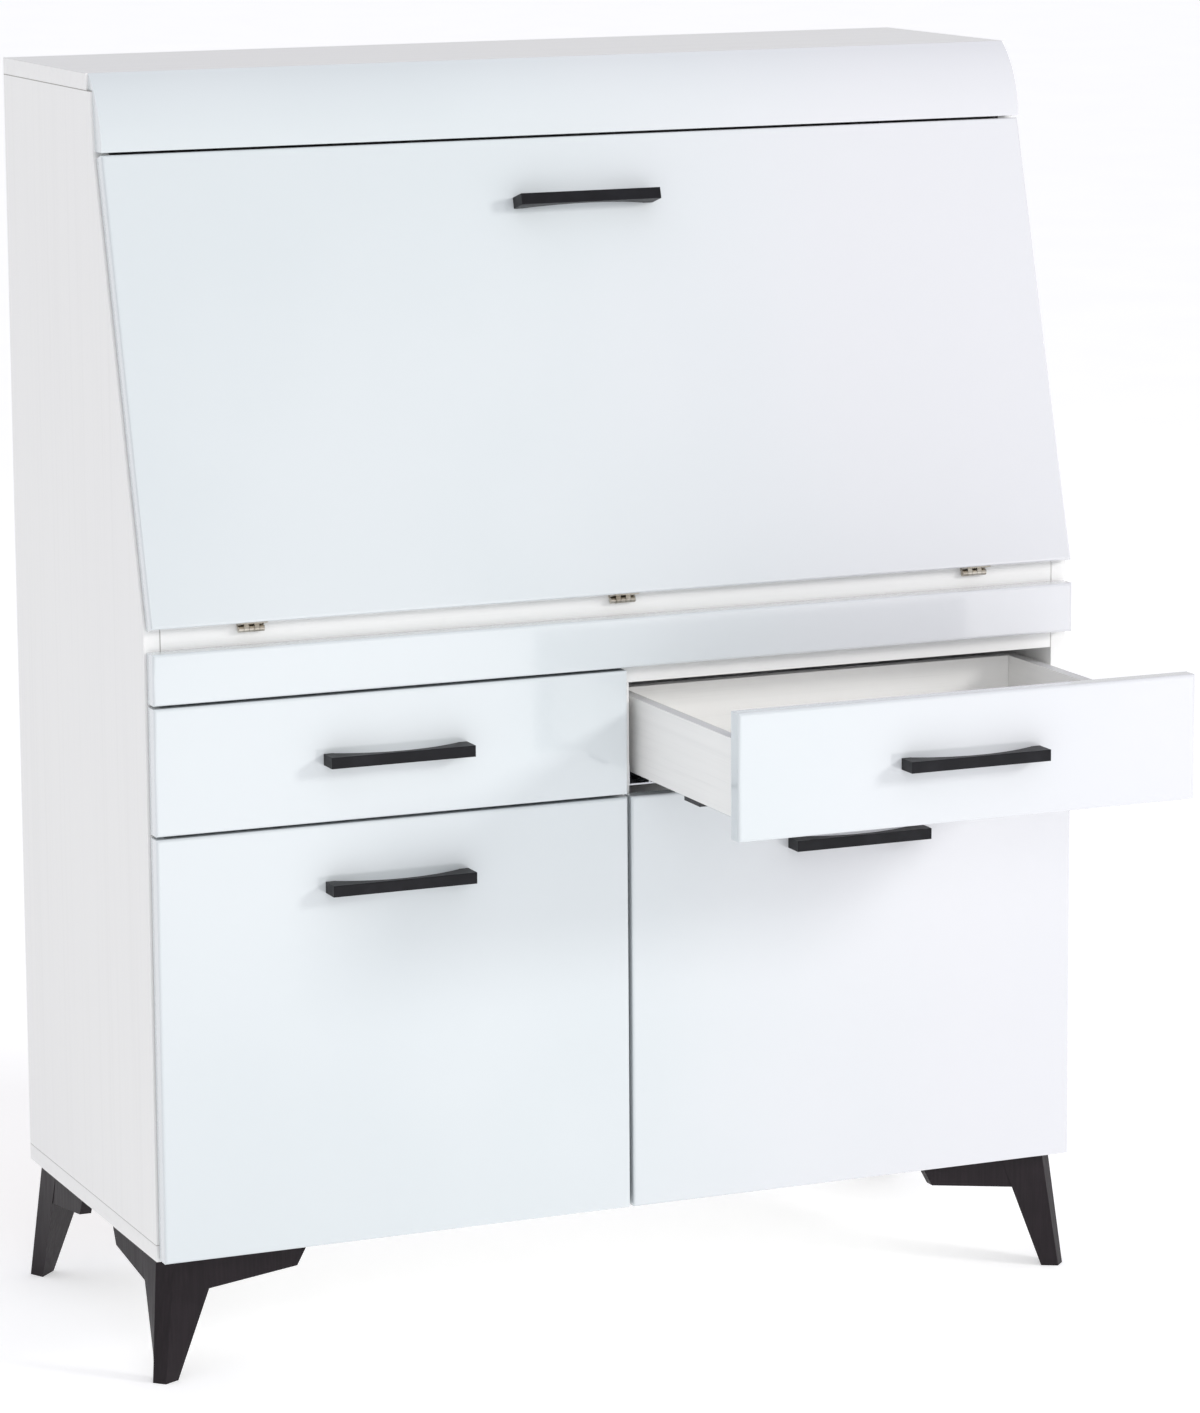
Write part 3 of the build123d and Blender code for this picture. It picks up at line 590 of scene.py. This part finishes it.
merging_distance = 0.01 * mm
flat_within = 0.4  # degrees
sharp_beyond = 35  # degrees
crease_beyond = 32  # degrees
eases = {  # how far the edges of a slot's pieces are eased, and the shortest edge that is
    "white_board": (0.5 * mm, 4 * mm),
    "gloss_lacquer": (0.6 * mm, 4 * mm),
    "foot_stain": (0.8 * mm, 4 * mm),
    "black_metal": (0.4 * mm, 0.5 * mm),
}
head_rim = 0.5 * mm
blade_length, blade_width, blade_lift = 1.15, 0.26, 0.95  # of the head's radius, radius, height
pan_head = (4.0 * mm, 2.4 * mm)
pan_shank_radius = 2.0 * mm
screw_seed = 7
screw_maker = screw_tree()
for node, part in frame["nodes"].items():
    slot = slot_of_node[node]
    part.data.materials.clear()
    part.data.materials.append(finish_for(node))
    if node.endswith("screws"):
        seats = [screw_seat(corners) for corners in solids_of(node)]
        places = [(place, axis) for place, axis, length in seats]
        screws(f"{node}_finished", node, places, pan_head, (pan_shank_radius, seats[0][2]))
    elif slot in eases:
        eased_piece(node, *eases[slot])


# Hinge screws: each seat is a place and the way the screw's head faces ----------------------------
def plate_seats(corners):
    """Two screws through the wings of a hinge plate, into the side panel."""
    low, high, centre = box_of(corners)
    side = math.copysign(1.0, low[0])
    wings = corners[np.abs(corners[:, 2] - centre[2]) > (high - low)[2] * wing_share]
    wing_face = side * np.abs(wings[:, 0]).min()
    middle = box_of(wings)[2]
    return [
        ((wing_face, middle[1], middle[2] + up), (-side, 0.0, 0.0))
        for up in (-plate_pitch, plate_pitch)
    ]


def cup_seats(corners):
    """Two screws through a hinge cup's flange, into the door."""
    low, high, middle = box_of(corners)
    return [
        ((middle[0], high[1], middle[2] + up), (0.0, 1.0, 0.0)) for up in (-cup_pitch, cup_pitch)
    ]


def fixed_leaf_seats(corners):
    """Two screws down through a hinge leaf, into the desk floor."""
    low, high, middle = box_of(corners)
    return [
        ((middle[0] + across, high[1] - leaf_margin, high[2]), (0.0, 0.0, 1.0))
        for across in (-leaf_pitch, leaf_pitch)
    ]


def moving_leaf_seats(corners):
    """Two screws up through a hinge leaf, into the flap's lower edge."""
    middle = box_of(corners)[2]
    tip = corners[corners[:, 1].argmin()]
    top = corners[corners[:, 2].argmax()]
    facing = np.array((0.0, tip[1] - top[1], tip[2] - top[2]))
    facing /= np.linalg.norm(facing)
    inward = np.array((0.0, -facing[2], facing[1]))
    place = tip + inward * leaf_tip_margin
    return [
        ((middle[0] + across, place[1], place[2]), facing)
        for across in (-leaf_pitch, leaf_pitch)
    ]


wing_share = 0.45
plate_pitch = 14.0 * mm
cup_pitch = 24.0 * mm
leaf_pitch = 7.0 * mm
leaf_margin = 6.0 * mm
leaf_tip_margin = 3.8 * mm
small_head = (2.6 * mm, 0.9 * mm)
tiny_head = (1.7 * mm, 0.45 * mm)
short_shank = 8 * mm
hinge_screws = {
    "hinge_plates": (plate_seats, small_head),
    "door_left_hinge_cups": (cup_seats, small_head),
    "door_right_hinge_cups": (cup_seats, small_head),
    "flap_hinge_fixed_leaves": (fixed_leaf_seats, tiny_head),
    "flap_hinge_moving_leaves": (moving_leaf_seats, tiny_head),
}
for node, (seats_in, head) in hinge_screws.items():
    seats = [seat for corners in solids_of(node) for seat in seats_in(corners)]
    screws(f"{node}_screws", node, seats, head, (head[0] / 2, short_shank), in_its_place=False)


# Room, light and camera --------------------------------------------------------------------------
def paper_floor():
    """A wide, pale, softly glowing floor, round and flat."""
    shape = bmesh.new()
    bmesh.ops.create_circle(shape, cap_ends=True, segments=96, radius=floor_radius)
    mesh = bpy.data.meshes.new("paper_floor")
    shape.to_mesh(mesh)
    shape.free()
    pale, paler = (0.85, 0.85, 0.85), (0.87, 0.87, 0.87)
    f = Finish("floor_paper", shown_colour=(0.95, 0.95, 0.95))
    tone = f.ramp(f.noise(f.place, scale=3.0, detail=3.0), low=0.3, high=0.7)
    surface = f.surface(
        Base_Color=f.blend(tone, pale, paler),
        Roughness=0.9,
        Emission_Color=(1.0, 1.0, 1.0),
        Emission_Strength=floor_glow,
    )
    mesh.materials.append(surface)
    paper = bpy.data.objects.new("paper_floor", mesh)
    scene.collection.objects.link(paper)


def soft_light(name, place, size, watts, colour):
    """A square soft box aimed at the middle of the desk."""
    light = bpy.data.lights.new(name, "AREA")
    light.shape = "SQUARE"
    light.size = size
    light.energy = watts
    light.color = colour
    lamp = bpy.data.objects.new(name, light)
    lamp.location = place
    lamp.rotation_euler = (Vector(aim) - Vector(place)).to_track_quat("-Z", "Y").to_euler()
    lamp.visible_glossy = False
    scene.collection.objects.link(lamp)


def sky():
    """Even white surroundings, a little dimmer and cooler overhead."""
    world = bpy.data.worlds.new("studio")
    scene.world = world
    world.use_nodes = True
    w = Nodes(world.node_tree)
    height = w.axis_of(w.node("ShaderNodeTexCoord")["Generated"], "Z")
    tint = w.node("ShaderNodeValToRGB", {"stops": sky_stops}, {"Fac": height})["Color"]
    surroundings = {"Color": tint, "Strength": sky_strength}
    glow = w.node("ShaderNodeBackground", {}, surroundings)["Background"]
    w.node("ShaderNodeOutputWorld", {}, {"Surface": glow})


def camera():
    """A long lens from the front left, a little above the top of the desk."""
    level, drop = math.cos(pitch), -math.sin(pitch)
    forward = Vector((math.sin(yaw) * level, math.cos(yaw) * level, drop))
    side = Vector((math.cos(yaw), -math.sin(yaw), 0.0))
    upward = side.cross(forward)
    right = math.cos(roll) * side + math.sin(roll) * upward
    top = math.cos(roll) * upward - math.sin(roll) * side
    lens = bpy.data.cameras.new("camera")
    lens.sensor_width = 36.0
    lens.lens = 136.1
    lens.shift_x = 0.034
    lens.shift_y = -0.086
    lens.clip_end = 50.0
    holder = bpy.data.objects.new("camera", lens)
    turn = Matrix((right, top, -forward)).transposed().to_4x4()
    holder.matrix_world = Matrix.Translation(eye) @ turn
    scene.collection.objects.link(holder)
    scene.camera = holder


floor_radius = 40.0
floor_glow = 0.35
sky_strength = 1.13
sky_stops = [
    (0.02, (1.0, 1.0, 1.0)),
    (0.1, (0.66, 0.66, 0.655)),
    (0.5, (0.6, 0.6, 0.615)),
    (0.85, (0.66, 0.66, 0.71)),
]
aim = (0.1, -0.2, 0.6)
eye = Vector((-2.015, -4.738, 1.575))
yaw, pitch, roll = math.radians(22.55), math.radians(9.32), math.radians(-0.5)
paper_floor()
sky()
soft_light("key", place=(4.2, -3.9, 2.8), size=1.1, watts=125.0, colour=(1.0, 0.99, 0.97))
soft_light("fill", place=(-0.7, -5.2, 2.2), size=2.0, watts=36.0, colour=(1.0, 1.0, 1.0))
camera()
scene.view_settings.view_transform = "Standard"
